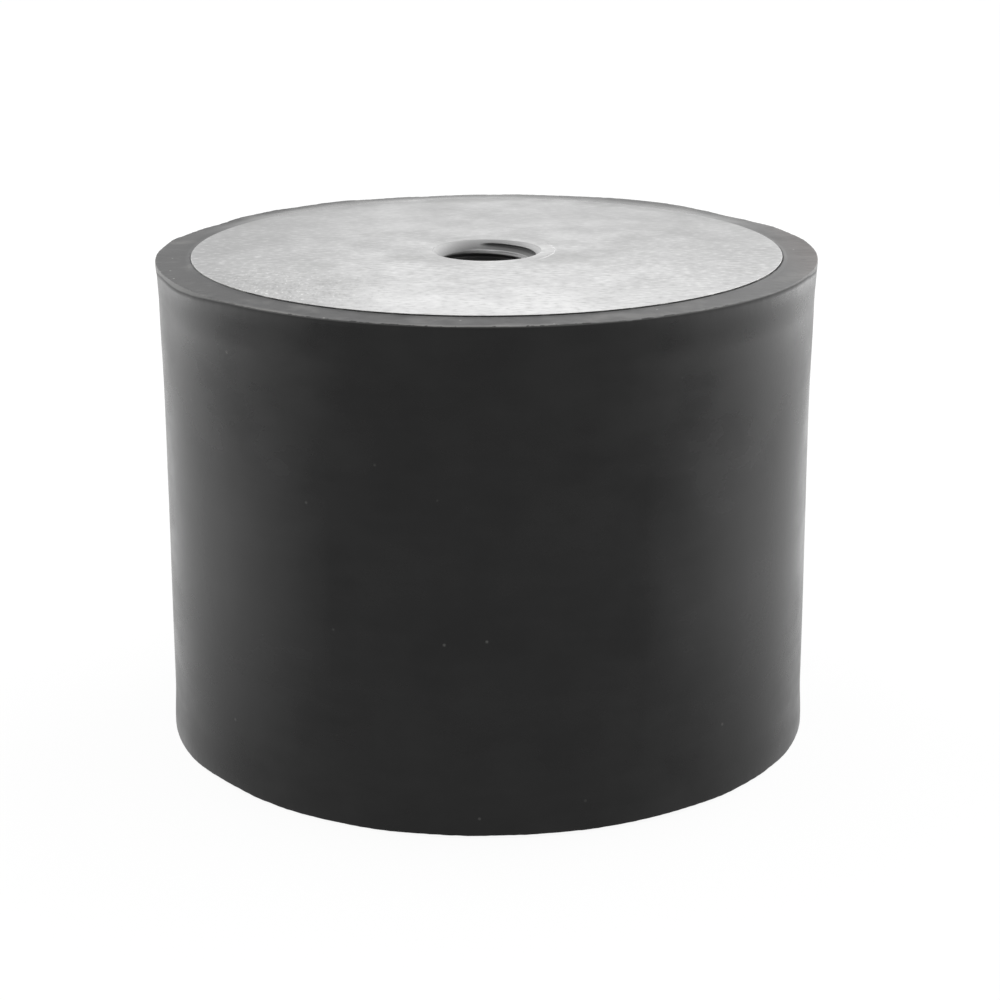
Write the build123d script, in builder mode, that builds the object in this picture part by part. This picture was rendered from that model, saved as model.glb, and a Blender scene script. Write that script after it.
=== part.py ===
from build123d import *
from math import radians, sqrt, tan
import os

# Bobbin vibration mount: a cylinder of rubber moulded between two steel end plates, with a threaded
# bush riveted into each plate.  Both ends are female and the lower end mirrors the upper one.
#
# Millimetres, +Z up along the mount's axis.  The origin is the centre of the lower bearing face.

# ---- Driving dimensions ---------------------------------------------------------------------------

# Rubber body
overall_height = 75.0       # from one bearing face to the other
body_diameter = 100.0       # rubber between the two lips
waist_depth = 0.15          # draw-in of the side at mid height, from moulding shrinkage
lip_proud = 0.4             # the lip round each end plate stands out past the side
lip_height = 4.0            # from the rim to where the lip has faded into the side
rim_step = 0.3              # the rubber rim lies below the bearing face
rim_edge_break = 0.25       # chamfer between the rim and the lip

# End plates
rim_width = 5.0             # rubber left between the plate's edge and the side
plate_thickness = 3.0
plate_edge_break = 0.2      # chamfer on the exposed edge

# Threaded bushes: M16 coarse, blind, riveted flush into the plates
thread_diameter = 16.0
thread_pitch = 2.0
thread_depth = 16.0         # full-width hole, measured from the bearing face
drill_point_angle = 118.0
countersink_diameter = 16.6
countersink_angle = 90.0
spigot_diameter = 20.0      # neck that passes through the plate
rivet_diameter = 21.0       # neck spread at the bearing face, which locks the bush in the plate
rivet_angle = 90.0
bush_diameter = 26.0        # shoulder and barrel under the plate
bush_floor = 3.0            # steel left under the drill point
bush_edge_break = 1.0       # chamfer round the buried end

# ---- Worked-out dimensions ------------------------------------------------------------------------

# A metric nut thread is cut to five eighths of its sharp triangle's height on each side.
thread_triangle_height = thread_pitch * sqrt(3) / 2
minor_diameter = thread_diameter - 2 * (5 / 8) * thread_triangle_height

body_radius = body_diameter / 2
lip_radius = body_radius + lip_proud
plate_radius = body_radius - rim_width
spigot_radius = spigot_diameter / 2
rivet_radius = rivet_diameter / 2
bush_radius = bush_diameter / 2
minor_radius = minor_diameter / 2

drill_point_height = minor_radius / tan(radians(drill_point_angle / 2))
rivet_height = (rivet_radius - spigot_radius) / tan(radians(rivet_angle / 2))
bush_length = thread_depth + drill_point_height + bush_floor

# Heights of the upper end, where each piece seats on the next
top_face = overall_height
rim_level = top_face - rim_step
plate_underside = top_face - plate_thickness
lip_foot = rim_level - lip_height
lip_shoulder = (rim_level + plate_underside) / 2
thread_end = top_face - thread_depth
bush_end = top_face - bush_length
mid_height = overall_height / 2

top_plane = Plane.XY.offset(top_face)
mid_plane = Plane.XY.offset(mid_height)

# ---- Rubber body ----------------------------------------------------------------------------------
# One profile turned round the axis: waisted side, flared lip, rim, and the recess that the plate and
# bush are bonded into.  The upper half is drawn and mirrored at mid height.

with BuildPart() as rubber_body:
    with BuildSketch(Plane.XZ) as rubber_profile:
        with BuildLine():
            side = TangentArc(
                (body_radius - waist_depth, mid_height), (body_radius, lip_foot), tangent=(0, 1)
            )
            lip = TangentArc(side @ 1, (lip_radius, lip_shoulder), tangent=side % 1)
            Polyline(
                lip @ 1,
                (lip_radius, rim_level),
                (plate_radius, rim_level),
                (plate_radius, plate_underside),
                (bush_radius, plate_underside),
                (bush_radius, bush_end + bush_edge_break),
                (bush_radius - bush_edge_break, bush_end),
                (0, bush_end),
                (0, mid_height),
            )
            mirror(about=Plane.ZX.offset(mid_height))
        make_face()
        lip_corners = rubber_profile.vertices().group_by(Axis.X)[-1].sort_by(Axis.Y)
        chamfer((lip_corners[0], lip_corners[-1]), length=rim_edge_break)
    revolve(axis=Axis.Z)

# ---- End plates -----------------------------------------------------------------------------------
# A pressed disc.  Its hole opens out at the bearing face to take the riveted end of the bush.

with BuildPart() as top_plate:
    with BuildSketch(Plane.XY.offset(plate_underside)):
        Circle(plate_radius)
    extrude(amount=plate_thickness)
    chamfer(top_plate.edges().group_by(Axis.Z)[-1], length=plate_edge_break)
    with Locations(top_plane):
        CounterSinkHole(
            radius=spigot_radius, counter_sink_radius=rivet_radius, counter_sink_angle=rivet_angle
        )

with BuildPart() as bottom_plate:
    mirror(top_plate.part, about=mid_plane)

# ---- Threaded bushes ------------------------------------------------------------------------------
# A turned blank with a shoulder under the plate and a neck spread into it, then drilled and
# countersunk.  The bore is the thread's minor diameter.

with BuildPart() as top_threaded_bush:
    with BuildSketch(Plane.XZ):
        with BuildLine():
            Polyline(
                (0, bush_end),
                (bush_radius - bush_edge_break, bush_end),
                (bush_radius, bush_end + bush_edge_break),
                (bush_radius, plate_underside),
                (spigot_radius, plate_underside),
                (spigot_radius, top_face - rivet_height),
                (rivet_radius, top_face),
                (0, top_face),
                close=True,
            )
        make_face()
    revolve(axis=Axis.Z)
    with Locations(top_plane):
        CounterSinkHole(
            radius=minor_radius,
            counter_sink_radius=countersink_diameter / 2,
            depth=thread_depth,
            counter_sink_angle=countersink_angle,
        )
    with Locations((0, 0, thread_end)):
        Cone(
            bottom_radius=0,
            top_radius=minor_radius,
            height=drill_point_height,
            align=(Align.CENTER, Align.CENTER, Align.MAX),
            mode=Mode.SUBTRACT,
        )

with BuildPart() as bottom_threaded_bush:
    mirror(top_threaded_bush.part, about=mid_plane)

# ---- Labels and files -----------------------------------------------------------------------------

rubber_body.part.label = "rubber_body"
top_plate.part.label = "top_plate"
top_threaded_bush.part.label = "top_threaded_bush"
bottom_plate.part.label = "bottom_plate"
bottom_threaded_bush.part.label = "bottom_threaded_bush"

os.makedirs("parts", exist_ok=True)
export_step(rubber_body.part, "parts/rubber_body.step")
export_step(top_plate.part, "parts/top_plate.step")
export_step(top_threaded_bush.part, "parts/top_threaded_bush.step")
export_step(bottom_plate.part, "parts/bottom_plate.step")
export_step(bottom_threaded_bush.part, "parts/bottom_threaded_bush.step")
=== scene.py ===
"""Looks of a bobbin vibration mount: black rubber bonded between two zinc-plated steel end plates.

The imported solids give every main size. This script rebuilds their visible surfaces finely, with the
screw thread, the hand-trimmed rim and the edges that the solids leave plain, and finishes each surface
with a procedural material. Sizes in the classes are in millimetres, apart from the studio's where it
says so, and meshes are in metres.
"""

from __future__ import annotations

import logging
import math
from collections.abc import Callable
from dataclasses import dataclass
from enum import Enum
from functools import cached_property, partial
from typing import NamedTuple

import bmesh
import bpy
from mathutils import Matrix, Vector, noise

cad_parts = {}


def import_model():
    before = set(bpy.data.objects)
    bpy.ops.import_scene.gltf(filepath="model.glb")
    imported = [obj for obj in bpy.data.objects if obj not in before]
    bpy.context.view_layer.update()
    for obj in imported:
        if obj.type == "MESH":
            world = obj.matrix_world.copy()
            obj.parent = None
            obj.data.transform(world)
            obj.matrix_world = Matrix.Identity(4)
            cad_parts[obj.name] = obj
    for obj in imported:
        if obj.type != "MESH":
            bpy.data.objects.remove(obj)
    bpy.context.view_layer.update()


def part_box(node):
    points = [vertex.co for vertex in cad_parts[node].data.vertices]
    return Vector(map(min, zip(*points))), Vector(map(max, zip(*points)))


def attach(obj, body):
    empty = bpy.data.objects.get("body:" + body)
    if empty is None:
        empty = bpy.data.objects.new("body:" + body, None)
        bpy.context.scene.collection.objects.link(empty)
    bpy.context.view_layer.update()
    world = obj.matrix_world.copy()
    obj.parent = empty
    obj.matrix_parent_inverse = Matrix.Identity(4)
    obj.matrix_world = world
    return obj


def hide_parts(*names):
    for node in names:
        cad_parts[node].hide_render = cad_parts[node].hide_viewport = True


LOG = logging.getLogger("bobbin_mount")

MM = 0.001
FULL_TURN = 2 * math.pi
ROOT_BODY = "root"

Span = tuple[float, float]
Outline = list[Span]
# How long the patches of a random pattern are, in mm, and how finely they are broken up.
Mottle = tuple[float, float]
Tree = bpy.types.NodeTree
Socket = bpy.types.NodeSocket


class End(Enum):
    """Which end of the mount a plate or a bush belongs to."""

    TOP = "top"
    BOTTOM = "bottom"


# ---- Small helpers ---------------------------------------------------------------------------------


def linear(code: str) -> tuple[float, float, float, float]:
    """Turn an sRGB hex colour into a linear colour.

    Args:
        code: The colour, such as "#c8c8c6".

    Returns:
        Red, green, blue and an alpha of 1, linear.
    """
    channels = [int(code[i : i + 2], 16) / 255 for i in (1, 3, 5)]
    red, green, blue = (c / 12.92 if c <= 0.04045 else ((c + 0.055) / 1.055) ** 2.4 for c in channels)
    return red, green, blue, 1.0


def smooth_step(start: float, stop: float, value: float) -> float:
    """Share from 0 at start to 1 at stop, level at both ends."""
    share = min(max((value - start) / (stop - start), 0.0), 1.0)
    return share * share * (3 - 2 * share)


def ripple(angle: float, radius: float, size: float, seed: float) -> float:
    """Smooth noise round a circle, the same after a full turn.

    Args:
        angle: Place round the circle, in radians.
        radius: Radius of the circle, in mm.
        size: Length of a typical ripple along the circle, in mm.
        seed: Any number; another one gives another circle.

    Returns:
        A value from about -1 to 1.
    """
    scale = radius / size
    return noise.noise(Vector((scale * math.cos(angle), scale * math.sin(angle), seed)))


def add_node(
    tree: Tree, kind: str, inputs: dict[str | int, object] | None = None, **settings: object
) -> Socket | None:
    """Add a shader node with its settings and links.

    Args:
        tree: The node tree that gets the node.
        kind: The node's type name.
        inputs: Names or numbers of input sockets, each with a value or with the socket that feeds it.
        **settings: Properties of the node.

    Returns:
        The node's first output in use, or None for an output node.
    """
    node = tree.nodes.new(kind)
    for name, value in settings.items():
        setattr(node, name, value)
    for key, value in (inputs or {}).items():
        named = (s for s in node.inputs if s.enabled and s.name == key)
        socket = node.inputs[key] if isinstance(key, int) else next(named)
        if isinstance(value, bpy.types.NodeSocket):
            tree.links.new(value, socket)
        else:
            socket.default_value = value
    return next((s for s in node.outputs if s.enabled), None)


# ---- Mesh building ---------------------------------------------------------------------------------


def line(start: Span, stop: Span, parts: int) -> Outline:
    """Points along a straight line, in equal parts.

    Args:
        start: The first point.
        stop: The last point.
        parts: Number of steps.

    Returns:
        The points, with both ends.
    """
    across, along = stop[0] - start[0], stop[1] - start[1]
    return [(start[0] + across * i / parts, start[1] + along * i / parts) for i in range(parts + 1)]


def rounded(start: Span, reach: float, drop: float, parts: int) -> Outline:
    """Points of a quarter round between a level stretch and an upright one.

    Args:
        start: Radius and level where the level stretch ends.
        reach: How much further out the upright stretch is, in mm.
        drop: How much the level changes on the way, in mm.
        parts: Number of steps.

    Returns:
        The points, with both ends.
    """
    turns = [math.radians(90 * i / parts) for i in range(parts + 1)]
    return [(start[0] + reach * math.sin(t), start[1] + drop * (1 - math.cos(t))) for t in turns]


def joined(*runs: Outline) -> Outline:
    """Join runs of points into one outline.

    Args:
        *runs: The runs, in order.

    Returns:
        All the points, each run's first left out where it repeats the last one.
    """
    points: Outline = []
    for point in (p for run in runs for p in run):
        if not points or math.dist(points[-1], point) > Turning.MERGE:
            points.append(point)
    return points


class Turning:
    """A shape turned round the Z axis, built in millimetres with bmesh operators."""

    MERGE = 1e-4
    WEDGES = 32

    def __init__(self) -> None:
        """Start with an empty mesh."""
        self.mesh = bmesh.new()

    def spin(self, outline: Outline, steps: int, rise: float = 0.0) -> None:
        """Turn an open outline once round the axis, as one wedge that is then repeated.

        Args:
            outline: Points as radius and height, in mm.
            steps: Number of columns round the axis.
            rise: How far the outline climbs in the turn, in mm, for a screw surface.
        """
        points = [self.mesh.verts.new((radius, 0.0, height)) for radius, height in outline]
        edges = [self.mesh.edges.new(pair) for pair in zip(points, points[1:])]
        first = 1 / self.WEDGES
        self.sweep(points + edges, steps // self.WEDGES, FULL_TURN * first, rise * first, copies=False)
        wedge = self.mesh.verts[:] + self.mesh.edges[:] + self.mesh.faces[:]
        self.sweep(wedge, self.WEDGES - 1, FULL_TURN * (1 - first), rise * (1 - first), copies=True)
        bmesh.ops.remove_doubles(self.mesh, verts=self.mesh.verts, dist=self.MERGE)

    def sweep(self, geometry: list, steps: int, angle: float, rise: float, copies: bool) -> None:
        """Turn geometry part of the way round the axis.

        Args:
            geometry: The points, edges and faces to turn.
            steps: Number of steps.
            angle: How far it turns in all, in radians.
            rise: How far it climbs in all, in mm.
            copies: Leave a whole copy at each step, or else a surface between the steps.
        """
        bmesh.ops.spin(
            self.mesh,
            geom=geometry,
            cent=(0, 0, 0),
            axis=(0, 0, 1),
            dvec=(0, 0, rise / steps),
            angle=angle,
            steps=steps,
            use_merge=False,
            use_normal_flip=False,
            use_duplicate=copies,
        )

    def shape(self, move: Callable[[float, float, float], Span]) -> None:
        """Move every point within its own half plane.

        Args:
            move: Takes angle, radius and height and gives the new radius and height.
        """
        for point in self.mesh.verts:
            angle = math.atan2(point.co.y, point.co.x)
            radius, height = move(angle, math.hypot(point.co.x, point.co.y), point.co.z)
            point.co = (radius * math.cos(angle), radius * math.sin(angle), height)

    def cut(self, height: float, keep_below: bool) -> None:
        """Cut the mesh at a level and drop one side.

        Args:
            height: The level, in mm.
            keep_below: Keep what lies under the level, or else what lies over it.
        """
        bmesh.ops.bisect_plane(
            self.mesh,
            geom=self.mesh.verts[:] + self.mesh.edges[:] + self.mesh.faces[:],
            dist=self.MERGE,
            plane_co=(0, 0, height),
            plane_no=(0, 0, 1),
            clear_outer=keep_below,
            clear_inner=not keep_below,
        )

    def continue_rim(self, height: float, rings: Outline) -> None:
        """Extrude the open rim at a level through a row of rings.

        Args:
            height: The level of the open rim, in mm.
            rings: Radius and height of each new ring; a radius of 0 closes the shape.
        """
        rim = [
            edge
            for edge in self.mesh.edges
            if edge.is_boundary and all(abs(v.co.z - height) < self.MERGE for v in edge.verts)
        ]
        for radius, level in rings:
            grown = bmesh.ops.extrude_edge_only(self.mesh, edges=rim)["geom"]
            rim = [g for g in grown if isinstance(g, bmesh.types.BMEdge)]
            for point in (g for g in grown if isinstance(g, bmesh.types.BMVert)):
                share = radius / math.hypot(point.co.x, point.co.y)
                point.co = (point.co.x * share, point.co.y * share, level)
        bmesh.ops.remove_doubles(self.mesh, verts=self.mesh.verts, dist=self.MERGE)

    def turn_over(self, middle: float) -> None:
        """Turn the shape end for end; a screw keeps its hand.

        Args:
            middle: The level that it turns about, in mm.
        """
        centre = Matrix.Translation((0, 0, middle))
        flip = centre @ Matrix.Rotation(math.pi, 4, "X") @ centre.inverted()
        bmesh.ops.transform(self.mesh, matrix=flip, verts=self.mesh.verts)

    def finish(
        self, name: str, materials: list[bpy.types.Material], choose: Callable[[Vector, Vector], int]
    ) -> bpy.types.Object:
        """Write the mesh out as an object at the origin.

        Args:
            name: The object's name.
            materials: The object's material slots.
            choose: Takes a face's centre, in mm, and its normal, and gives its slot's number.

        Returns:
            The new object.
        """
        bmesh.ops.recalc_face_normals(self.mesh, faces=self.mesh.faces)
        for face in self.mesh.faces:
            face.smooth = True
            face.material_index = choose(face.calc_center_median(), face.normal)
        bmesh.ops.scale(self.mesh, vec=(MM, MM, MM), verts=self.mesh.verts)
        data = bpy.data.meshes.new(name)
        self.mesh.to_mesh(data)
        self.mesh.free()
        for material in materials:
            data.materials.append(material)
        piece = bpy.data.objects.new(name, data)
        bpy.context.scene.collection.objects.link(piece)
        return piece


def place(piece: bpy.types.Object, node: str) -> None:
    """Let a piece ride on the mount and stand for its solid.

    Args:
        piece: The finished piece.
        node: The solid's name.
    """
    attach(piece, ROOT_BODY)
    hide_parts(node)
    LOG.info("%s stands for %s: %d faces", piece.name, node, len(piece.data.polygons))


# ---- Finishes --------------------------------------------------------------------------------------


class Ramp(NamedTuple):
    """A value that goes from its least at one reading to its most at another; places are in mm."""

    start: float
    stop: float
    most: float = 1.0
    least: float = 0.0


class Fade(NamedTuple):
    """A tone that comes in slowly across a face, along one axis."""

    axis: str
    ramp: Ramp
    tone: str


class Canvas:
    """A material's node tree, with the place on its piece as sockets in millimetres."""

    def __init__(self, tree: Tree) -> None:
        """Start on a tree with the place on the piece.

        Args:
            tree: The material's node tree.
        """
        self.tree = tree
        self.add = partial(add_node, tree)
        metres = self.add("ShaderNodeTexCoord").node.outputs["Object"]
        self.spot = self.add("ShaderNodeVectorMath", {0: metres, "Scale": 1 / MM}, operation="SCALE")

    @cached_property
    def axes(self) -> bpy.types.NodeOutputs:
        """The place along X, Y and Z."""
        return self.add("ShaderNodeSeparateXYZ", {0: self.spot}).node.outputs

    @cached_property
    def flat(self) -> Socket:
        """The place as seen along the Z axis."""
        return self.add("ShaderNodeVectorMath", {0: self.spot, 1: (1, 1, 0)}, operation="MULTIPLY")

    @cached_property
    def radius(self) -> Socket:
        """Distance from the Z axis."""
        return self.add("ShaderNodeVectorMath", {0: self.flat}, operation="LENGTH").node.outputs["Value"]

    def grade(self, *factors: Socket | float | tuple[Socket, Ramp]) -> Socket:
        """Multiply values together, each run along its ramp first where it has one.

        Args:
            *factors: Values, or pairs of a value and its ramp.

        Returns:
            The product.
        """
        product = None
        for factor in factors:
            if isinstance(factor, tuple):
                reading, (start, stop, most, least) = factor
                ends = {"From Min": start, "From Max": stop, "To Min": least, "To Max": most}
                factor = self.add("ShaderNodeMapRange", {"Value": reading, **ends})
            if product is None:
                product = factor
            else:
                product = self.add("ShaderNodeMath", {0: product, 1: factor}, operation="MULTIPLY")
        return product

    def paint(self, base: str, *layers: tuple[Socket, str | Socket]) -> Socket:
        """Lay tints over a colour, one on top of another.

        Args:
            base: The colour underneath, as an sRGB hex colour.
            *layers: How much of each tint shows, and its hex colour or socket, from the lowest up.

        Returns:
            The colour on top.
        """
        colour = linear(base)
        for share, tint in layers:
            tint = linear(tint) if isinstance(tint, str) else tint
            colour = self.add("ShaderNodeMix", {"Factor": share, "A": colour, "B": tint}, data_type="RGBA")
        return colour

    def faded(self, fades: tuple[Fade, ...]) -> list[tuple[Socket, str]]:
        """Layers of paint for tones that come in along an axis."""
        return [(self.grade((self.axes[fade.axis], fade.ramp)), fade.tone) for fade in fades]


@dataclass(frozen=True)
class Finish:
    """What all finishes share: one material whose patterns follow the piece in real millimetres."""

    name: str

    def material(self) -> bpy.types.Material:
        """Build the material.

        Returns:
            The finished material.
        """
        material = bpy.data.materials.new(self.name)
        material.use_nodes = True
        tree = material.node_tree
        tree.nodes.clear()
        add_node(tree, "ShaderNodeOutputMaterial", {"Surface": self.shade(Canvas(tree))})
        return material

    def shade(self, canvas: Canvas) -> Socket:
        """Add the nodes of this finish.

        Args:
            canvas: The material's node tree and the places on its piece.

        Returns:
            The shader's output.
        """
        raise NotImplementedError


@dataclass(frozen=True)
class MouldedRubber(Finish):
    """Carbon-black natural rubber, cured in a turned steel mould."""

    # Near black, with a satin skin that stays dark face on and turns pale grey where it curves away.
    # Faint clouds of bloom, a very fine grain and a few specks keep it from looking like plastic.
    # At the two sides the trimming knife has dulled the upper lip as well as its rim.
    name: str = "moulded_black_rubber"
    black: str = "#0c0c0c"
    bloom: str = "#141414"
    dust: str = "#8a8a87"
    pit: str = "#000000"
    flank: str = "#303030"
    worn: str = "#5c5c5b"
    ior: float = 1.31
    patch: Mottle = (11.0, 6.0)
    streak: tuple[float, float, float] = (7.0, 7.0, 2.2)
    streak_share: float = 0.35
    wobble: Mottle = (9.0, 1.5)
    # Moulded rubber's grain is a few hundredths of a millimetre; it is drawn ten times coarser to show.
    grain: Mottle = (0.6, 3.0)
    grain_height: float = 0.007
    speck_spacing: float = 6.0
    specked: Ramp = Ramp(0.05, 0.025, most=0.2)
    bloomed: Ramp = Ramp(0.525, 0.825)
    roughness: Ramp = Ramp(0.475, 0.875, most=0.37, least=0.25)
    # Handling has polished the waist all round. Its colour is also painted paler at the two sides, a painted
    # sheen of the side softboxes.
    waist: Ramp = Ramp(30.0, 6.0)
    polish: float = 0.09
    flanks: Ramp = Ramp(22.0, 38.0)
    rim_level: float = 74.7
    # How far the knife's dulling reaches down the lip, along X.
    worn_reach: tuple[Ramp, ...] = (
        Ramp(-36.0, -43.0, most=1.0),
        Ramp(-48.5, -50.0, most=0.7),
        Ramp(47.0, 48.8, most=1.2),
    )
    worn_blur: float = 0.3
    worn_roughness: float = 0.62
    shade_width: float = 0.55
    shade_roughness: float = 0.6

    def shade(self, canvas: Canvas) -> Socket:
        """Add the nodes of this finish.

        Args:
            canvas: The material's node tree and the places on its piece.

        Returns:
            The shader's output.
        """
        add, spot, axes = canvas.add, canvas.spot, canvas.axes
        patches, sway, grain = (
            add("ShaderNodeTexNoise", {"Vector": spot, "Scale": 1 / size, "Detail": detail})
            for size, detail in (self.patch, self.wobble, self.grain)
        )
        drawn = add("ShaderNodeVectorMath", {0: spot, 1: self.streak}, operation="DIVIDE")
        streaks = add("ShaderNodeTexNoise", {"Vector": drawn, "Scale": 1.0, "Detail": 3.0})
        streaks = canvas.grade(streaks, self.streak_share)
        uneven = add("ShaderNodeMath", {0: patches, 1: streaks}, operation="ADD")
        specks = add("ShaderNodeTexVoronoi", {"Vector": spot, "Scale": 1 / self.speck_spacing})
        pale = add("ShaderNodeSeparateColor", {"Color": specks.node.outputs["Color"]})

        level = axes["Z"]
        for ramp in self.worn_reach:
            reach = canvas.grade((axes["X"], ramp), sway)
            level = add("ShaderNodeMath", {0: level, 1: reach}, operation="ADD")
        worn_from = self.rim_level - self.worn_blur
        dulled = canvas.grade((level, Ramp(worn_from, self.rim_level)))
        whole = add("ShaderNodeMath", {0: 1.0, 1: dulled}, operation="SUBTRACT")
        under = canvas.grade((level, Ramp(worn_from - self.shade_width, worn_from)), whole)

        off_middle = add("ShaderNodeMath", {0: axes["Z"], 1: self.rim_level / 2}, operation="SUBTRACT")
        off_middle = add("ShaderNodeMath", {0: off_middle}, operation="ABSOLUTE")
        aside = add("ShaderNodeMath", {0: axes["X"]}, operation="ABSOLUTE")
        waist = canvas.grade((off_middle, self.waist))
        sheen = {0: canvas.grade((uneven, self.roughness)), 1: canvas.grade(waist, self.polish)}
        sheen = add("ShaderNodeMath", sheen, operation="SUBTRACT")
        for share, roughness in ((dulled, self.worn_roughness), (under, self.shade_roughness)):
            sheen = add("ShaderNodeMix", {"Factor": share, "A": sheen, "B": roughness}, data_type="FLOAT")

        colour = canvas.paint(
            self.black,
            (canvas.grade((uneven, self.bloomed)), self.bloom),
            (canvas.grade((specks, self.specked)), canvas.paint(self.pit, (pale, self.dust))),
            (dulled, self.worn),
            # Painted sheen: the waist is painted paler towards the two sides, where the softboxes light it.
            (canvas.grade(waist, (aside, self.flanks)), self.flank),
        )
        bump = {"Height": grain, "Distance": self.grain_height * MM, "Strength": 1.0}
        normal = add("ShaderNodeBump", bump)
        look = {"Base Color": colour, "Roughness": sheen, "IOR": self.ior, "Normal": normal}
        return add("ShaderNodeBsdfPrincipled", look)


@dataclass(frozen=True)
class RimRubber(Finish):
    """The same rubber on the flat rim, trimmed with a knife and rubbed in handling."""

    # A dry mid grey, paler than the side, blotched where it was touched and nicked along its cut edge in
    # front, where a pale streaky band is a painted highlight of that edge. On the far side it is buffed
    # smooth and painted paler, partly faint bonding agent dust and partly a painted reflection. A dark
    # painted crevice shade runs where it meets the plate.
    name: str = "trimmed_rim_rubber"
    dark: str = "#444444"
    grey: str = "#606060"
    pale: str = "#8c8b89"
    scuff: str = "#a9a7a4"
    film: str = "#c2c2c2"
    # Painted crevice shade where the rim meets the plate.
    line: str = "#141414"
    nick: str = "#101010"
    ior: float = 1.4
    fades: tuple[Fade, ...] = (
        Fade("X", Ramp(5.0, 48.0, most=0.5), "#727272"),
        Fade("X", Ramp(44.0, 50.0, most=0.3), "#7c716c"),
        Fade("X", Ramp(-8.0, -34.0, most=0.5), "#3e3e3e"),
        Fade("X", Ramp(-36.0, -50.0, most=0.1), "#6a6a6a"),
    )
    blotch: Mottle = (2.6, 6.0)
    blotched: Ramp = Ramp(0.35, 0.65)
    roughness: Ramp = Ramp(0.35, 0.65, most=0.72, least=0.55)
    patch: Mottle = (6.5, 4.0)
    dark_patches: Ramp = Ramp(0.46, 0.3, most=0.3)
    pale_patches: Ramp = Ramp(0.54, 0.7, most=0.3)
    front: Ramp = Ramp(-32.0, -41.0)
    # The band along the front cut edge that carries the painted highlight.
    edge: Ramp = Ramp(49.2, 50.2)
    stretch: Mottle = (22.0, 3.0)
    scuffed: Ramp = Ramp(0.42, 0.55, most=0.32)
    bite: Mottle = (1.3, 3.0)
    bite_depth: Ramp = Ramp(0.53, 0.72, most=0.6)
    bite_edge: Ramp = Ramp(50.2, 50.3)
    # Each pale film's ramps along the radius and along Y. The films are partly bonding agent dust and partly
    # a painted reflection of the bright room on the far rim.
    films: tuple[tuple[Ramp, Ramp], ...] = (
        (Ramp(48.8, 45.2, most=0.28), Ramp(16.0, 32.0)),
        (Ramp(60.0, 55.0, most=0.2), Ramp(42.0, 49.5)),
    )
    buffed_inward: Ramp = Ramp(50.3, 47.2)
    buffed_behind: Ramp = Ramp(14.0, 34.0)
    buffed_roughness: float = 0.22
    line_width: Ramp = Ramp(45.3, 45.16)
    line_fades: tuple[tuple[str, Ramp], ...] = (("Y", Ramp(18.0, 2.0)), ("X", Ramp(-40.0, -30.0)))
    crumb_spacing: float = 3.0
    crumbed: Ramp = Ramp(0.07, 0.035, most=0.7)
    # A knife leaves a grain of about a tenth of a millimetre; it is drawn seven times coarser to show.
    grain: Mottle = (0.7, 3.0)
    grain_height: float = 0.012

    def shade(self, canvas: Canvas) -> Socket:
        """Add the nodes of this finish.

        Args:
            canvas: The material's node tree and the places on its piece.

        Returns:
            The shader's output.
        """
        add, spot, axes, radius = canvas.add, canvas.spot, canvas.axes, canvas.radius
        blotch, patch, stretches, bites, grain = (
            add("ShaderNodeTexNoise", {"Vector": spot, "Scale": 1 / size, "Detail": detail})
            for size, detail in (self.blotch, self.patch, self.stretch, self.bite, self.grain)
        )
        crumbs = add("ShaderNodeTexVoronoi", {"Vector": spot, "Scale": 1 / self.crumb_spacing})
        front = canvas.grade((axes["Y"], self.front))
        line_sides = ((axes[axis], ramp) for axis, ramp in self.line_fades)
        bites = canvas.grade((bites, self.bite_depth))
        bitten = add("ShaderNodeMath", {0: radius, 1: bites}, operation="ADD")
        films = [canvas.grade((radius, inward), (axes["Y"], behind)) for inward, behind in self.films]
        colour = canvas.paint(
            self.dark,
            (canvas.grade((blotch, self.blotched)), self.grey),
            *canvas.faded(self.fades),
            (canvas.grade((patch, self.dark_patches)), self.dark),
            (canvas.grade((patch, self.pale_patches)), self.pale),
            # Painted highlight: a pale streaky band along the front cut edge, in the same pale tint as the
            # crumbs.
            (canvas.grade((radius, self.edge), front, (stretches, self.scuffed)), self.scuff),
            # Painted reflection with dust: the far rim is painted paler.
            *((share, self.film) for share in films),
            # Painted crevice shade beside the plate, faded out behind and at the left.
            (canvas.grade((radius, self.line_width), *line_sides), self.line),
            (canvas.grade((bitten, self.bite_edge), front), self.nick),
            (canvas.grade((crumbs, self.crumbed)), self.scuff),
        )

        buffed = canvas.grade((radius, self.buffed_inward), (axes["Y"], self.buffed_behind))
        dry = {"Factor": buffed, "A": canvas.grade((blotch, self.roughness)), "B": self.buffed_roughness}
        dry = add("ShaderNodeMix", dry, data_type="FLOAT")
        bump = {"Height": grain, "Distance": self.grain_height * MM, "Strength": 1.0}
        normal = add("ShaderNodeBump", bump)
        look = {"Base Color": colour, "Roughness": dry, "IOR": self.ior, "Normal": normal}
        return add("ShaderNodeBsdfPrincipled", look)


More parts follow.
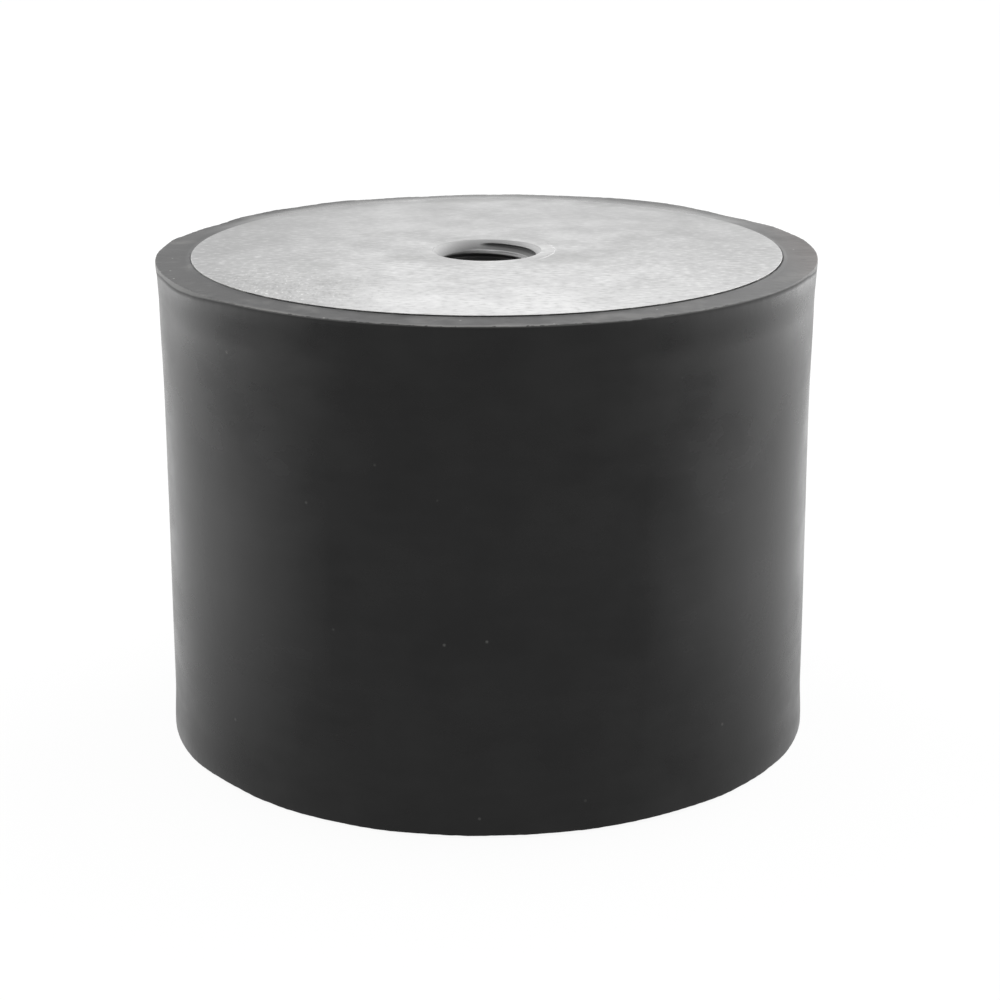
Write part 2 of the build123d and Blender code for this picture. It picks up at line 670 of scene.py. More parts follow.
@dataclass(frozen=True)
class ZincPlating(Finish):
    """Zinc electroplated on cold-rolled steel, dulled in the curing press."""

    # A soft light grey that never mirrors: slowly clouded, with short fine marks, white oxide grit
    # along part of its edge, and rubber and bonding agent that have crept over its far edge.
    name: str = "zinc_plated_steel"
    dull: str = "#b3b3b3"
    pale: str = "#bfbfbf"
    bright: str = "#e6e6e5"
    stain: str = "#949493"
    film: str = "#6a6a69"
    fades: tuple[Fade, ...] = (
        Fade("Y", Ramp(0.0, -44.0, most=0.5), "#e6e6e6"),
        Fade("X", Ramp(-14.0, -46.0, most=0.75), "#8c8c8c"),
        Fade("X", Ramp(12.0, 45.0, most=0.5), "#949494"),
        Fade("Y", Ramp(4.0, 32.0, most=0.2), "#949494"),
    )
    cloud: Mottle = (6.0, 5.0)
    clouded: Ramp = Ramp(0.32, 0.62)
    roughness: Ramp = Ramp(0.3, 0.7, most=0.6, least=0.46)
    # How long a mark is along X, Y and Z; a grain of grit is given in the same way.
    mark: tuple[float, float, float] = (1.3, 0.75, 0.6)
    bright_marks: Ramp = Ramp(0.5, 0.72, most=0.4)
    dark_marks: Ramp = Ramp(0.47, 0.28, most=0.4)
    marked: Ramp = Ramp(22.0, -16.0, least=0.4)
    smudge: Mottle = (13.0, 3.0)
    smudged: Ramp = Ramp(0.57, 0.7, most=0.35)
    collar: Ramp = Ramp(10.6, 8.6, most=0.08)
    grit: tuple[float, float, float] = (0.4, 1.0, 0.4)
    grit_centre: tuple[float, float, float] = (-33.0, -31.0, 0.0)
    grit_reach: Ramp = Ramp(23.0, 6.0)
    grit_bed: float = 0.3
    grit_tones: tuple[tuple[Ramp, str], ...] = (
        (Ramp(0.6, 0.74, most=0.48), "#f4f4f3"),
        (Ramp(0.42, 0.28, most=0.48), "#7a7a78"),
    )
    plate_radius: float = 45.0
    haze: Mottle = (4.5, 4.0)
    haze_width: Ramp = Ramp(6.0, 38.0, most=8.4)
    hazed: Ramp = Ramp(0.0, 4.2, most=0.36)
    # Rolling leaves a texture of about a tenth of a millimetre; it is drawn four times coarser to show.
    fine: Mottle = (0.4, 2.0)
    fine_height: float = 0.011

    def shade(self, canvas: Canvas) -> Socket:
        """Add the nodes of this finish.

        Args:
            canvas: The material's node tree and the places on its piece.

        Returns:
            The shader's output.
        """
        add, spot, axes, radius = canvas.add, canvas.spot, canvas.axes, canvas.radius
        clouds, smudges, wave, fine = (
            add("ShaderNodeTexNoise", {"Vector": spot, "Scale": 1 / size, "Detail": detail})
            for size, detail in (self.cloud, self.smudge, self.haze, self.fine)
        )
        drawn = add("ShaderNodeVectorMath", {0: spot, 1: self.mark}, operation="DIVIDE")
        marks = add("ShaderNodeTexNoise", {"Vector": drawn, "Scale": 1.0, "Detail": 3.0})
        upright = add("ShaderNodeVectorMath", {0: spot, 1: self.grit}, operation="DIVIDE")
        grit = add("ShaderNodeTexNoise", {"Vector": upright, "Scale": 1.0, "Detail": 2.0})

        nearer = canvas.grade((axes["Y"], self.marked))
        away = add("ShaderNodeVectorMath", {0: canvas.flat, 1: self.grit_centre}, operation="DISTANCE")
        bed = canvas.grade((away.node.outputs["Value"], self.grit_reach))
        inward = add("ShaderNodeMath", {0: self.plate_radius, 1: radius}, operation="SUBTRACT")
        haze = canvas.grade((axes["Y"], self.haze_width), wave)
        haze = add("ShaderNodeMath", {0: haze, 1: inward}, operation="SUBTRACT")
        colour = canvas.paint(
            self.dull,
            (canvas.grade((clouds, self.clouded)), self.pale),
            *canvas.faded(self.fades),
            (canvas.grade((marks, self.bright_marks), nearer), self.bright),
            (canvas.grade((marks, self.dark_marks), nearer), self.stain),
            (canvas.grade((smudges, self.smudged)), self.stain),
            (canvas.grade((radius, self.collar)), self.bright),
            (canvas.grade(bed, self.grit_bed), self.stain),
            *((canvas.grade((grit, ramp), bed), tone) for ramp, tone in self.grit_tones),
            (canvas.grade((haze, self.hazed)), self.film),
        )

        relief = add("ShaderNodeMath", {0: fine, 1: canvas.grade(grit, bed)}, operation="ADD")
        bump = {"Height": relief, "Distance": self.fine_height * MM, "Strength": 1.0}
        look = {
            "Base Color": colour,
            "Metallic": 1.0,
            "Roughness": canvas.grade((clouds, self.roughness)),
            "Normal": add("ShaderNodeBump", bump),
        }
        return add("ShaderNodeBsdfPrincipled", look)


@dataclass(frozen=True)
class BondingFilm(Finish):
    """Dried bonding agent on the plate's edge, worn through in places."""

    # A broken dark thread of a line that parts the bright plate from the grey rim, and grey rubber
    # instead of it on the far side and at the left.
    name: str = "bonding_agent_film"
    film: str = "#1a1a19"
    bare: str = "#6e6e6c"
    fades: tuple[Fade, ...] = (
        Fade("Y", Ramp(-4.0, 20.0), "#747473"),
        Fade("X", Ramp(-34.0, -42.0, most=0.9), "#747473"),
    )
    gap: float = 1.6
    broken: Ramp = Ramp(0.5, 0.66)
    roughness: float = 0.65
    ior: float = 1.45

    def shade(self, canvas: Canvas) -> Socket:
        """Add the nodes of this finish.

        Args:
            canvas: The material's node tree and the places on its piece.

        Returns:
            The shader's output.
        """
        gaps = {"Vector": canvas.spot, "Scale": 1 / self.gap, "Detail": 4.0}
        gaps = canvas.grade((canvas.add("ShaderNodeTexNoise", gaps), self.broken))
        colour = canvas.paint(self.film, (gaps, self.bare), *canvas.faded(self.fades))
        look = {"Base Color": colour, "Roughness": self.roughness, "IOR": self.ior}
        return canvas.add("ShaderNodeBsdfPrincipled", look)


@dataclass(frozen=True)
class TappedSteel(Finish):
    """Free-cutting steel, drilled, countersunk and tapped, then plated with its plate."""

    # Dull and powdery plating. The lead-in is painted from light to mid grey with depth as painted shade. The
    # first turn's groove is painted dark as painted shade, over a crest painted pale as a painted highlight.
    # Below it the hole is painted near black, partly oil and partly painted shade.
    name: str = "tapped_plated_steel"
    plated: str = "#a6a6a6"
    thin: str = "#686868"
    crest: str = "#cccccc"
    # Painted shade in the uppermost thread groove.
    root: str = "#3a3a3a"
    oiled: str = "#4c4c4c"
    scored: str = "#3c3c3b"
    metallic: float = 0.3
    roughness: float = 0.55
    height: float = 75.0
    # Painted shade: the lead-in cone is painted darker with depth.
    lead_in: Ramp = Ramp(0.0, 1.3)
    # Radii of the painted groove shade.
    groove: Ramp = Ramp(7.55, 7.95)
    # Radius and depth together, which stay the same all down the lead-in cone and grow behind it.
    behind_cone: Ramp = Ramp(8.35, 8.6)
    # Painted highlight: the first crest is painted pale towards +X.
    crested: Ramp = Ramp(7.15, 6.96)
    crest_from: Ramp = Ramp(-3.5, 1.0)
    score_depth: float = 1.5
    score_width: Ramp = Ramp(0.14, 0.04, most=0.7)
    score_from: Ramp = Ramp(0.5, 2.5)
    helix_slope: float = 0.046
    # Below this depth along the screw the hole is painted near black, partly oil and partly painted shade.
    unlit: Ramp = Ramp(2.08, 2.18)
    # The plating's powdery grain is a few hundredths of a millimetre; it is drawn coarser to show.
    grain: float = 0.35
    grain_height: float = 0.03

    def shade(self, canvas: Canvas) -> Socket:
        """Add the nodes of this finish.

        Args:
            canvas: The material's node tree and the places on its piece.

        Returns:
            The shader's output.
        """
        add, axes, radius = canvas.add, canvas.axes, canvas.radius
        half = self.height / 2
        level = add("ShaderNodeMath", {0: axes["Z"], 1: half}, operation="SUBTRACT")
        level = add("ShaderNodeMath", {0: level}, operation="ABSOLUTE")
        depth = add("ShaderNodeMath", {0: half, 1: level}, operation="SUBTRACT")
        climb = canvas.grade(axes["X"], self.helix_slope)
        helix = add("ShaderNodeMath", {0: depth, 1: climb}, operation="SUBTRACT")
        score = add("ShaderNodeMath", {0: helix, 1: self.score_depth}, operation="SUBTRACT")
        score = add("ShaderNodeMath", {0: score}, operation="ABSOLUTE")
        behind = add("ShaderNodeMath", {0: radius, 1: depth}, operation="ADD")
        colour = canvas.paint(
            self.plated,
            (canvas.grade((depth, self.lead_in)), self.thin),
            (canvas.grade((radius, self.groove), (behind, self.behind_cone)), self.root),
            (canvas.grade((radius, self.crested), (axes["X"], self.crest_from)), self.crest),
            (canvas.grade((score, self.score_width), (axes["X"], self.score_from)), self.scored),
            (canvas.grade((helix, self.unlit)), self.oiled),
        )

        grain = add("ShaderNodeTexNoise", {"Vector": canvas.spot, "Scale": 1 / self.grain, "Detail": 3.0})
        bump = {"Height": grain, "Distance": self.grain_height * MM, "Strength": 1.0}
        look = {
            "Base Color": colour,
            "Metallic": self.metallic,
            "Roughness": self.roughness,
            "Normal": add("ShaderNodeBump", bump),
        }
        return add("ShaderNodeBsdfPrincipled", look)


@dataclass(frozen=True)
class SeamlessPaper(Finish):
    """White studio paper that keeps a faint shadow of the mount."""

    # White to the eye and in reflections, and plain white paper to the light that it scatters.
    name: str = "white_paper"
    white: str = "#f2f2f2"
    # The glow is painted a little dimmer near the mount, as a painted soft shadow.
    glow: Ramp = Ramp(80.0, 400.0, most=0.97, least=0.918)
    shadow_share: float = 0.08

    def shade(self, canvas: Canvas) -> Socket:
        """Add the nodes of this finish.

        Args:
            canvas: The material's node tree and the places on its piece.

        Returns:
            The shader's output.
        """
        add = canvas.add
        plain = add("ShaderNodeBsdfDiffuse", {"Color": linear(self.white)})
        faint = add("ShaderNodeBsdfDiffuse", {"Color": (*(self.shadow_share,) * 3, 1.0)})
        away = add("ShaderNodeVectorMath", {0: canvas.spot}, operation="LENGTH").node.outputs["Value"]
        glow = add("ShaderNodeEmission", {"Strength": canvas.grade((away, self.glow))})
        shown = add("ShaderNodeAddShader", {0: faint, 1: glow})
        return add("ShaderNodeMixShader", {0: seen_directly(canvas.tree), 1: plain, 2: shown})


def seen_directly(tree: Tree) -> Socket:
    """Tell rays that show a surface, straight or in a reflection, from rays that carry its light.

    Args:
        tree: The node tree that gets the nodes.

    Returns:
        A socket that is 1 for camera, glossy and transmission rays, and 0 for the others.
    """
    rays = add_node(tree, "ShaderNodeLightPath").node.outputs
    seen = rays["Is Camera Ray"]
    for kind in ("Is Glossy Ray", "Is Transmission Ray"):
        seen = add_node(tree, "ShaderNodeMath", {0: seen, 1: rays[kind]}, operation="MAXIMUM")
    return seen


# ---- Pieces ----------------------------------------------------------------------------------------


@dataclass(frozen=True)
class MountSizes:
    """Sizes shared by the pieces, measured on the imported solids, in mm."""

    height: float
    rim_step: float
    plate_radius: float
    plate_thickness: float
    bush_radius: float
    bush_length: float

    @classmethod
    def from_frame(cls) -> MountSizes:
        """Measure the solids.

        Returns:
            The sizes.
        """
        _, rubber_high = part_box("rubber_body")
        plate_low, plate_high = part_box("top_plate")
        bush_low, bush_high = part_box("top_threaded_bush")
        return cls(
            height=plate_high.z / MM,
            rim_step=(plate_high.z - rubber_high.z) / MM,
            plate_radius=max(plate_high.x, -plate_low.x) / MM,
            plate_thickness=(plate_high.z - plate_low.z) / MM,
            bush_radius=max(bush_high.x, -bush_low.x) / MM,
            bush_length=(bush_high.z - bush_low.z) / MM,
        )

    @property
    def middle(self) -> float:
        """Half the height."""
        return self.height / 2


@dataclass(frozen=True)
class KnifeCut:
    """How far the trimming of a rim strays from its level all round.

    The stations are azimuths in degrees, rising, each with a depth in mm, negative where less was cut.
    """

    stations: tuple[Span, ...]

    def at(self, angle: float) -> float:
        """Look up the cut, smoothly from station to station.

        Args:
            angle: Place round the axis, in radians.

        Returns:
            The depth, in mm.
        """
        first = self.stations[0][0]
        turn = first + math.degrees((angle - math.radians(first)) % FULL_TURN)
        for (start, low), (stop, high) in zip(self.stations, self.stations[1:]):
            if turn < stop:
                return low + (high - low) * smooth_step(start, stop, turn)
        return 0.0


UPPER_CUT = KnifeCut((
    (-12, 0), (2, -0.07), (12, -0.12), (20, -0.06), (32, 0.07), (38, 0.22), (44, 0.01), (50, -0.18),
    (62, -0.25), (74, -0.13), (82, -0.1), (88, 0), (109, 0.05), (121, -0.14), (131, -0.02), (142, 0.02),
    (150, 0.29), (156, 0.25), (163, 0.12), (168, -0.06), (174, 0.06), (180, -0.02), (190, 0),
))
LOWER_CUT = KnifeCut((
    (208, 0), (216, 0.23), (222, 0.22), (228, 0), (234, -0.11), (242, -0.07), (250, -0.15), (262, 0.04),
    (270, 0), (280, 0.11), (288, 0), (304, 0.1), (314, -0.03), (326, 0.08), (336, -0.08), (344, 0),
))


@dataclass(frozen=True)
class Wave:
    """A ripple that moves a surface all round; lengths are in mm."""

    length: float
    height: float
    bias: float
    seed: float

    def at(self, angle: float, radius: float, seed: float) -> float:
        """How far it moves the surface at an angle and a radius, in mm, for one of its circles."""
        return self.height * (self.bias + ripple(angle, radius, self.length, self.seed + seed))


@dataclass(frozen=True)
class Lip:
    """The edge of the rubber at one end; depths are from that end's bearing face."""

    radius: float
    land_depth: float
    cut: KnifeCut


@dataclass(frozen=True)
class Bulge:
    """A place where the upper lip stands out further, down to the depths over which it fades."""

    azimuth: float
    reach: float
    height: float
    fade: Span

    def at(self, angle: float, depth: float) -> float:
        """Work out how far the bulge stands out.

        Args:
            angle: Place round the axis, in radians.
            depth: Depth under the bearing face, in mm.

        Returns:
            The extra radius, in mm.
        """
        off = abs(math.remainder(angle - math.radians(self.azimuth), FULL_TURN))
        start, stop = self.fade
        beside = smooth_step(math.radians(self.reach), 0.0, off)
        return self.height * beside * smooth_step(stop, start, depth)


@dataclass
class RubberBody:
    """The rubber moulding, with its waist, lips, trimmed rims and the recesses for the steel."""

    sizes: MountSizes
    waist_radius: float = 49.82
    waist_height: float = 53.0
    shoulder_radius: float = 50.04
    shoulder_depth: float = 7.0
    edge_round: float = 0.1
    # The rubber has crept up the plate's edge by this much, over this width, and its corner is broken.
    meniscus: float = 0.13
    meniscus_width: float = 0.9
    meniscus_start: float = 0.12
    recess_break: Span = (0.03, 0.05)
    steps: int = 880
    # The rim is rough from this far outside the plate, and the side between these depths. Whatever its
    # waves do, the rim stays this far under the bearing face.
    rim_start: float = 0.2
    rim_reach: Span = (3.0, 0.4)
    rim_sunk: float = 0.09
    rim_waves: tuple[Wave, ...] = (
        Wave(length=7.0, height=0.09, bias=0.3, seed=0.0),
        Wave(length=0.9, height=0.05, bias=0.2, seed=9.0),
    )
    side_wave: Wave = Wave(length=16.0, height=0.05, bias=-0.5, seed=5.0)
    side_drift: float = 40.0
    lip_wave: Wave = Wave(length=0.8, height=0.015, bias=-0.6, seed=7.0)
    seed: float = 3.7
    # Radii between which a bulge takes hold.
    bulge_radii: Span = (49.6, 50.16)
    # Faces of the trimmed rim lie this near its level, in mm, and slope less than this, in degrees.
    rim_band: float = 0.5
    rim_slope: float = 60.0
    bulges: tuple[Bulge, ...] = (
        Bulge(azimuth=4.0, reach=28.0, height=0.1, fade=(1.5, 6.5)),
        Bulge(azimuth=0.0, reach=22.0, height=0.06, fade=(0.9, 2.0)),
        Bulge(azimuth=181.0, reach=22.0, height=0.16, fade=(1.0, 2.3)),
    )

    @property
    def lips(self) -> dict[End, Lip]:
        """The two lips; the upper one keeps a thin proud edge from its trimming."""
        upper, lower = Lip(50.25, land_depth=0.5, cut=UPPER_CUT), Lip(50.28, land_depth=0.8, cut=LOWER_CUT)
        return {End.TOP: upper, End.BOTTOM: lower}

    def side(self, height: float) -> float:
        """Draw the waisted side.

        Args:
            height: Height of a point on it, in mm.

        Returns:
            The point's radius, in mm.
        """
        above = height > self.waist_height
        edge = self.sizes.height - self.shoulder_depth if above else self.shoulder_depth
        share = smooth_step(self.waist_height, edge, height)
        return self.waist_radius + (self.shoulder_radius - self.waist_radius) * share

    def end_outline(self, lip: Lip) -> Outline:
        """Section of one end, from the axis in the recess out to the side.

        Args:
            lip: The end's lip.

        Returns:
            Points as radius and depth under the bearing face.
        """
        s = self.sizes
        rim, corner = s.rim_step, lip.radius - self.edge_round
        crept = rim - self.meniscus
        lap = s.plate_radius + self.meniscus_width
        break_width, break_depth = self.recess_break
        flare = lip.radius - self.shoulder_radius
        recess_floor = (s.plate_radius, s.plate_thickness)

        def climb(radius: float) -> float:
            """Depth of the rim where the rubber has crept up beside the plate."""
            return rim - self.meniscus * (1 - smooth_step(s.plate_radius, lap, radius))

        def lean(depth: float) -> float:
            """Radius of the lip where it runs into the side."""
            return lip.radius - flare * smooth_step(lip.land_depth, self.shoulder_depth, depth)

        return joined(
            [(0.0, s.bush_length), (s.bush_radius, s.bush_length)],
            line((s.bush_radius, s.plate_thickness), recess_floor, parts=2),
            line(recess_floor, (s.plate_radius, crept + break_depth), parts=2),
            [(s.plate_radius + break_width, crept)],
            [(r, climb(r)) for r, _ in line((s.plate_radius + self.meniscus_start, 0), (lap, 0), parts=5)],
            line((lap, rim), (corner, rim), parts=10),
            rounded((corner, rim), self.edge_round, self.edge_round, parts=5),
            line((lip.radius, rim + self.edge_round), (lip.radius, lip.land_depth), parts=2),
            [(lean(d), d) for _, d in line((0, lip.land_depth), (0, self.shoulder_depth), parts=16)],
        )

    def outline(self) -> Outline:
        """Draw the whole section of the rubber.

        Returns:
            Points as radius and height, from the axis in the upper recess to the axis in the lower one.
        """
        s = self.sizes
        upper = [(r, s.height - depth) for r, depth in self.end_outline(self.lips[End.TOP])]
        lower = self.end_outline(self.lips[End.BOTTOM])
        side = [(self.side(h), h) for _, h in line(upper[-1], lower[-1], parts=20)]
        return joined(upper, side, lower[::-1])

    def roughen(self, angle: float, radius: float, height: float) -> Span:
        """Give the rim and side the waves of moulding and hand trimming.

        Args:
            angle: Place round the axis, in radians.
            radius: Radius of the point, in mm.
            height: Height of the point, in mm.

        Returns:
            The new radius and height.
        """
        s = self.sizes
        outward = smooth_step(s.plate_radius + self.rim_start, self.shoulder_radius, radius)
        if outward == 0:
            return radius, height
        upper = height > s.middle
        seed = self.seed if upper else -self.seed
        depth = s.middle - abs(height - s.middle)
        near_rim = smooth_step(*self.rim_reach, depth)
        drop = sum(wave.at(angle, radius, seed) for wave in self.rim_waves)
        swell = self.side_wave.at(angle, radius, seed + height / self.side_drift)
        swell += self.lip_wave.at(angle, radius, seed) * near_rim
        if near_rim:
            drop += self.lips[End.TOP if upper else End.BOTTOM].cut.at(angle)
        if upper and depth < self.shoulder_depth:
            at_side = smooth_step(*self.bulge_radii, radius)
            swell += sum(bulge.at(angle, depth) for bulge in self.bulges) * at_side
        drop = max(drop, self.rim_sunk - s.rim_step) * near_rim * outward
        return radius + swell * outward, height - drop if upper else height + drop

    def build(self, side: bpy.types.Material, rim: bpy.types.Material) -> bpy.types.Object:
        """Build and place the rubber.

        Args:
            side: Finish of the moulded side.
            rim: Finish of the flat rims.

        Returns:
            The piece.
        """
        turning = Turning()
        turning.spin(self.outline(), self.steps)
        turning.shape(self.roughen)
        rim_from = self.sizes.middle - self.sizes.rim_step - self.rim_band
        flat_from = math.cos(math.radians(self.rim_slope))

        def choose(centre: Vector, normal: Vector) -> int:
            """Give the rims the trimmed finish and all else the moulded one."""
            return int(abs(centre.z - self.sizes.middle) > rim_from and abs(normal.z) > flat_from)

        piece = turning.finish("rubber_moulding", [side, rim], choose)
        place(piece, "rubber_body")
        return piece


@dataclass
class SteelPiece:
    """What a plate and its bush share: their end of the mount and the riveted joint between them."""

    sizes: MountSizes
    end: End
    ring_radius: float = 10.5
    neck_radius: float = 10.0
    seam: float = 0.06
    clearance: float = 0.004
    # The joint gapes at one azimuth, and is tight again this far from it, in degrees.
    gape_azimuth: float = -6.0
    gape_reach: Span = (62.0, 15.0)

    @property
    def flare(self) -> float:
        """How far the neck is spread at the bearing face, in mm."""
        return self.ring_radius - self.neck_radius

    def close_seam(self, angle: float, radius: float, height: float) -> Span:
        """Raise the joint's edge to the face where the joint is tight.

        Args:
            angle: Place round the axis, in radians.
            radius: Radius of the point, in mm.
            height: Height of the point, in mm.

        Returns:
            The new radius and height.
        """
        top = self.sizes.height
        sunk = top - height
        beside = abs(radius - self.ring_radius)
        if not self.clearance / 2 < sunk < 2 * self.seam or beside > 2 * self.seam:
            return radius, height
        off = abs(math.remainder(angle - math.radians(self.gape_azimuth), FULL_TURN))
        tight, open_wide = (math.radians(reach) for reach in self.gape_reach)
        return radius, top - self.clearance - sunk * smooth_step(tight, open_wide, off)

    def fit(self, turning: Turning) -> None:
        """Close the seam of a finished shape and turn it over at the lower end.

        Args:
            turning: The shape, as it is at the upper end.
        """
        turning.shape(self.close_seam)
        if self.end is End.BOTTOM:
            turning.turn_over(self.sizes.middle)


@dataclass
class EndPlate(SteelPiece):
    """A pressed steel disc whose broken edge carries a film of bonding agent."""

    edge_break: float = 0.07
    bare_edge: float = 0.02
    steps: int = 512

    def outline(self) -> Outline:
        """Draw half the section of the disc.

        Returns:
            Points as radius and height, from the hole over the bearing face to the edge and back below.
        """
        s = self.sizes
        top, under = s.height, s.height - s.plate_thickness
        hole, seam = self.ring_radius, self.seam
        edge = s.plate_radius - self.clearance
        shoulder = edge - self.edge_break
        return joined(
            [(self.neck_radius, under), (self.neck_radius, top - self.flare)],
            [(hole, top - seam), (hole + seam, top - seam / 4)],
            line((hole + 2 * seam, top), (shoulder, top), parts=24),
            rounded((shoulder, top), self.edge_break, -self.edge_break, parts=6),
            line((edge, top - self.edge_break), (edge, under), parts=8),
            line((edge, under), (self.neck_radius, under), parts=6),
        )

    def build(self, face: bpy.types.Material, film: bpy.types.Material) -> bpy.types.Object:
        """Build and place the plate.

        Args:
            face: Finish of the steel.
            film: Finish of the edge.

        Returns:
            The piece.
        """
        s = self.sizes
        turning = Turning()
        turning.spin(self.outline(), self.steps)
        self.fit(turning)
        covered = s.middle - self.bare_edge
        near_edge = s.plate_radius - self.edge_break

        def choose(centre: Vector, _: Vector) -> int:
            """Give the edge below its bare corner the film, and the rest the steel."""
            return int(math.hypot(centre.x, centre.y) > near_edge and abs(centre.z - s.middle) < covered)

        piece = turning.finish(f"{self.end.value}_plate_disc", [face, film], choose)
        place(piece, f"{self.end.value}_plate")
        return piece


@dataclass
class ThreadedBush(SteelPiece):
    """A turned blind bush with a metric coarse thread, riveted flush in its plate."""

    thread_diameter: float = 16.0
    pitch: float = 2.0
    depth: float = 16.0
    mouth_radius: float = 8.3
    mouth_cut: float = 0.3
    # The worn edge of the mouth and of the ring, as radius past the edge and depth under the face.
    mouth_round: tuple[Span, ...] = ((-0.1, 0.1), (-0.03, 0.045), (0.06, 0.012), (0.18, 0.004))
    ring_round: tuple[Span, ...] = ((-0.1, 0.004), (-0.05, 0.02), (-0.02, 0.06))
    point_step: float = 0.1
    bore_edge: float = 0.02
    end_chamfer: float = 1.0
    drill_angle: float = 118.0
    crest_level: float = -1.94
    crest_azimuth: float = 90.0
    # Angles, counted up the screw from its crest, over which the uppermost groove runs out, in degrees.
    groove_end: Span = (36.0, -8.0)
    steps: int = 224
    rows_per_pitch: int = 24
    # The wall starts this many turns below the hole's end and is longer than the hole by this many.
    spare_turns: Span = (1.5, 2.0)

    # Widths of a crest and of a flank, and the thread's height, as shares of the pitch.
    CREST = 1 / 4
    FLANK = 5 / 16
    HEIGHT = 5 / 16 * math.sqrt(3)

    @property
    def minor_radius(self) -> float:
        """Radius at the crests, five eighths of the sharp triangle inside the nominal radius."""
        return self.thread_diameter / 2 - self.HEIGHT * self.pitch

    def thread_radius(self, angle: float, level: float) -> float:
        """Radius of the thread's surface.

        Args:
            angle: Place round the hole, in radians.
            level: Height over the bearing face, in mm, negative in the hole.

        Returns:
            The radius, in mm.
        """
        off_crest = (angle - math.radians(self.crest_azimuth)) / FULL_TURN
        turns = (level - self.crest_level) / self.pitch - off_crest
        along = turns % 1.0 - self.CREST
        groove_turn = math.degrees((math.floor(turns) + off_crest) * FULL_TURN)
        full = self.HEIGHT * self.pitch * smooth_step(*self.groove_end, groove_turn)
        rising, falling = along / self.FLANK, (1 - self.CREST - along) / self.FLANK
        share = min(max(min(rising, falling), 0.0), 1.0)
        return self.minor_radius + full * share

    def bore(self, turning: Turning) -> float:
        """Make the threaded wall and the lead-in cone above it.

        Args:
            turning: The shape that gets the wall.

        Returns:
            Height of the cone's open upper rim, in mm.
        """
        top = self.sizes.height
        row = self.pitch / self.rows_per_pitch
        below, more = (turns * self.pitch for turns in self.spare_turns)
        start, rows = top - self.depth - below, math.ceil((self.depth + more) / row)
        turning.spin([(self.minor_radius, start + i * row) for i in range(rows)], self.steps, rise=self.pitch)

        def cut_thread(angle: float, _: float, height: float) -> Span:
            """Cut the screw thread and the lead-in cone into the wall."""
            level = height - top
            return max(self.thread_radius(angle, level), self.mouth_radius + level), height

        turning.shape(cut_thread)
        rim = top - self.mouth_cut
        turning.cut(rim, keep_below=True)
        turning.cut(top - self.depth, keep_below=False)
        return rim

    def build(self, plated: bpy.types.Material, tapped: bpy.types.Material) -> bpy.types.Object:
        """Build and place the bush.

        Args:
            plated: Finish of the flush ring and the outside.
            tapped: Finish of the lead-in and the thread.

        Returns:
            The piece.
        """
        s = self.sizes
        top = s.height
        under_plate, buried_end = top - s.plate_thickness, top - s.bush_length
        neck, barrel = self.neck_radius - self.clearance, s.bush_radius - self.clearance
        turning = Turning()
        rim = self.bore(turning)
        mouth = [(self.mouth_radius + past, top - sunk) for past, sunk in self.mouth_round]
        seam = [(self.ring_radius + past, top - sunk) for past, sunk in self.ring_round]
        ring = line(mouth[-1], seam[0], parts=5)
        shank = [(neck, top - self.flare), (neck, under_plate), (barrel, under_plate)]
        butt = [(barrel, buried_end + self.end_chamfer), (s.bush_radius - self.end_chamfer, buried_end)]
        turning.continue_rim(rim, [*mouth[:-1], *ring, *seam[1:], *shank, *butt, (0.0, buried_end)])
        thread_end = top - self.depth
        point = self.minor_radius - self.point_step
        tip = thread_end - point / math.tan(math.radians(self.drill_angle / 2))
        turning.continue_rim(thread_end, [(point, thread_end), (0.0, tip)])
        self.fit(turning)
        bore_radius = self.mouth_radius + self.bore_edge
        drilled_from = tip - s.middle

        def choose(centre: Vector, _: Vector) -> int:
            """Give the hole the tapped finish and the rest the plated one."""
            inside = math.hypot(centre.x, centre.y) < bore_radius
            return int(inside and abs(centre.z - s.middle) > drilled_from)

        piece = turning.finish(f"{self.end.value}_bush_turned", [plated, tapped], choose)
        place(piece, f"{self.end.value}_threaded_bush")
        return piece


# ---- Studio ----------------------------------------------------------------------------------------


@dataclass(frozen=True)
class Softbox:
    """A wide soft light that stands on the paper beside the mount; lengths are in metres."""

    name: str
    middle: Span
    turn: float
    width: float
    height: float
    radiance: float

    def stand(self) -> None:
        """Add the light."""
        data = bpy.data.lights.new(self.name, "AREA")
        data.shape = "RECTANGLE"
        data.size, data.size_y = self.width, self.height
        data.energy = self.radiance * math.pi * self.width * self.height
        light = bpy.data.objects.new(self.name, data)
        light.location = (*self.middle, self.height / 2)
        light.rotation_euler = (math.radians(90), 0, math.radians(self.turn))
        light.visible_camera = False
        bpy.context.scene.collection.objects.link(light)


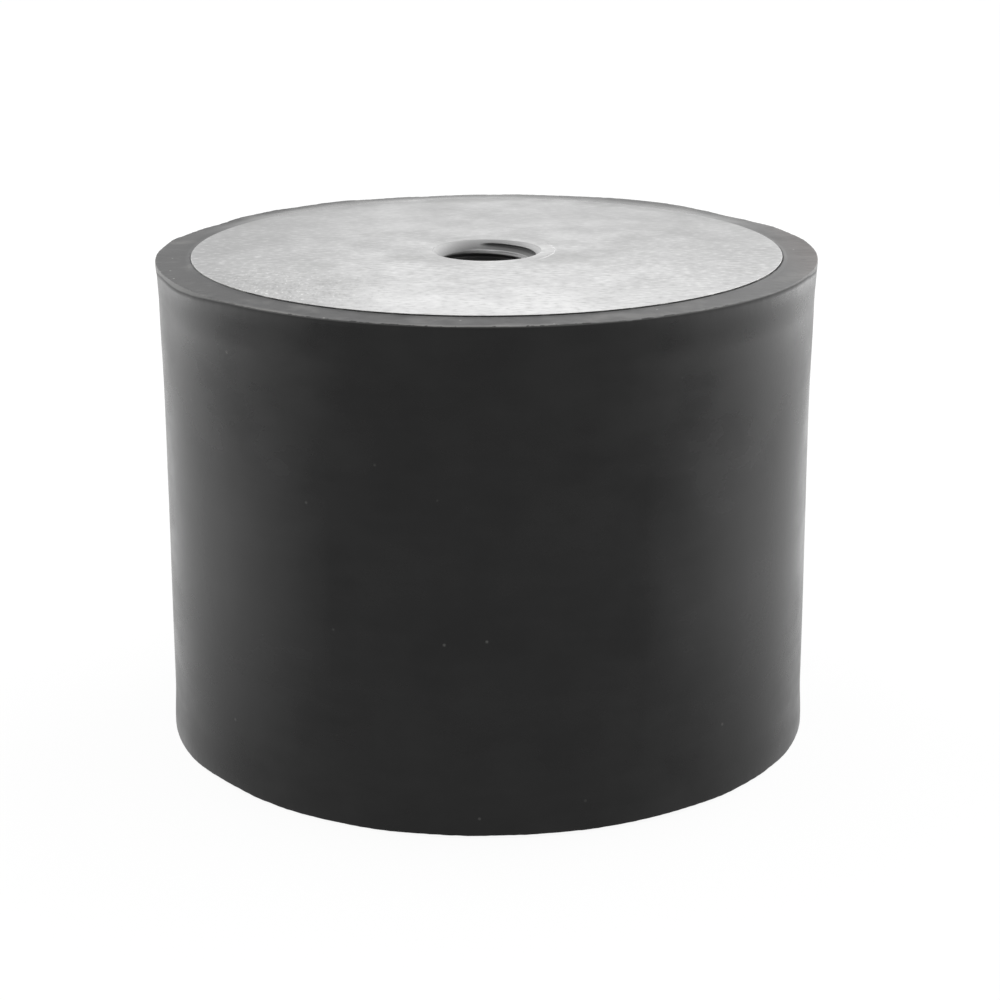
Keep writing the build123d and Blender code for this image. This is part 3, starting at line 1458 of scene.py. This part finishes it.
@dataclass(frozen=True)
class Studio:
    """White paper, even white light with a softbox on each side, and the camera."""

    # The floor's size and the nearest distance that the camera shows are in metres. Its place, lens and
    # sensor are in mm, and its turns in degrees.
    floor_size: float = 40.0
    room_light: float = 0.5
    nearest: float = 0.01
    camera_back: float = 364.4
    camera_rise: float = 72.9
    tilt: float = 17.23
    pan: float = 0.31
    roll: float = 0.08
    lens: float = 86.9
    sensor: float = 36.0
    softboxes: tuple[Softbox, ...] = (
        Softbox("left_softbox", middle=(-0.29, 0.09), turn=-106, width=0.7, height=0.4, radiance=2.35),
        Softbox("right_softbox", middle=(0.29, 0.07), turn=107, width=0.78, height=0.4, radiance=2.7),
    )

    def lay_floor(self) -> None:
        """Lay the paper under the mount."""
        sheet = bmesh.new()
        bmesh.ops.create_grid(sheet, x_segments=1, y_segments=1, size=self.floor_size / 2)
        data = bpy.data.meshes.new("paper_floor")
        sheet.to_mesh(data)
        sheet.free()
        data.materials.append(SeamlessPaper().material())
        floor = bpy.data.objects.new("paper_floor", data)
        bpy.context.scene.collection.objects.link(floor)

    def light(self) -> None:
        """Light the mount from a white room and from the softboxes."""
        world = bpy.data.worlds.new("white_room")
        world.use_nodes = True
        tree = world.node_tree
        tree.nodes.clear()
        strength = {"Value": seen_directly(tree), "To Min": self.room_light}
        strength = add_node(tree, "ShaderNodeMapRange", strength)
        room = add_node(tree, "ShaderNodeBackground", {"Color": linear("#ffffff"), "Strength": strength})
        add_node(tree, "ShaderNodeOutputWorld", {"Surface": room})
        bpy.context.scene.world = world
        for softbox in self.softboxes:
            softbox.stand()

    def aim_camera(self, top: float) -> None:
        """Put the camera in front of the mount, a little above it.

        Args:
            top: Height of the mount, in mm.
        """
        data = bpy.data.cameras.new("camera")
        data.lens = self.lens
        data.sensor_width = self.sensor
        data.clip_start = self.nearest
        camera = bpy.data.objects.new("camera", data)
        bpy.context.scene.collection.objects.link(camera)
        stand = Matrix.Translation((0, -self.camera_back * MM, (top + self.camera_rise) * MM))
        turns = ((-self.pan, "Z"), (90 - self.tilt, "X"), (-self.roll, "Z"))
        pan, tilt, roll = (Matrix.Rotation(math.radians(turn), 4, axis) for turn, axis in turns)
        aim = pan @ tilt
        camera.matrix_world = stand @ aim @ roll
        bpy.context.scene.camera = camera


def main() -> None:
    """Build the mount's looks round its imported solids."""
    logging.basicConfig(level=logging.INFO, format="%(name)s: %(message)s")
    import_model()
    sizes = MountSizes.from_frame()

    skin = MouldedRubber(rim_level=sizes.height - sizes.rim_step)
    RubberBody(sizes).build(skin.material(), RimRubber().material())
    zinc = ZincPlating(plate_radius=sizes.plate_radius).material()
    film = BondingFilm().material()
    tapped = TappedSteel(height=sizes.height).material()
    for end in End:
        EndPlate(sizes, end).build(zinc, film)
        ThreadedBush(sizes, end).build(zinc, tapped)

    studio = Studio()
    studio.lay_floor()
    studio.light()
    studio.aim_camera(sizes.height)
    bpy.context.scene.view_settings.view_transform = "Standard"


if __name__ == "__main__":
    main()
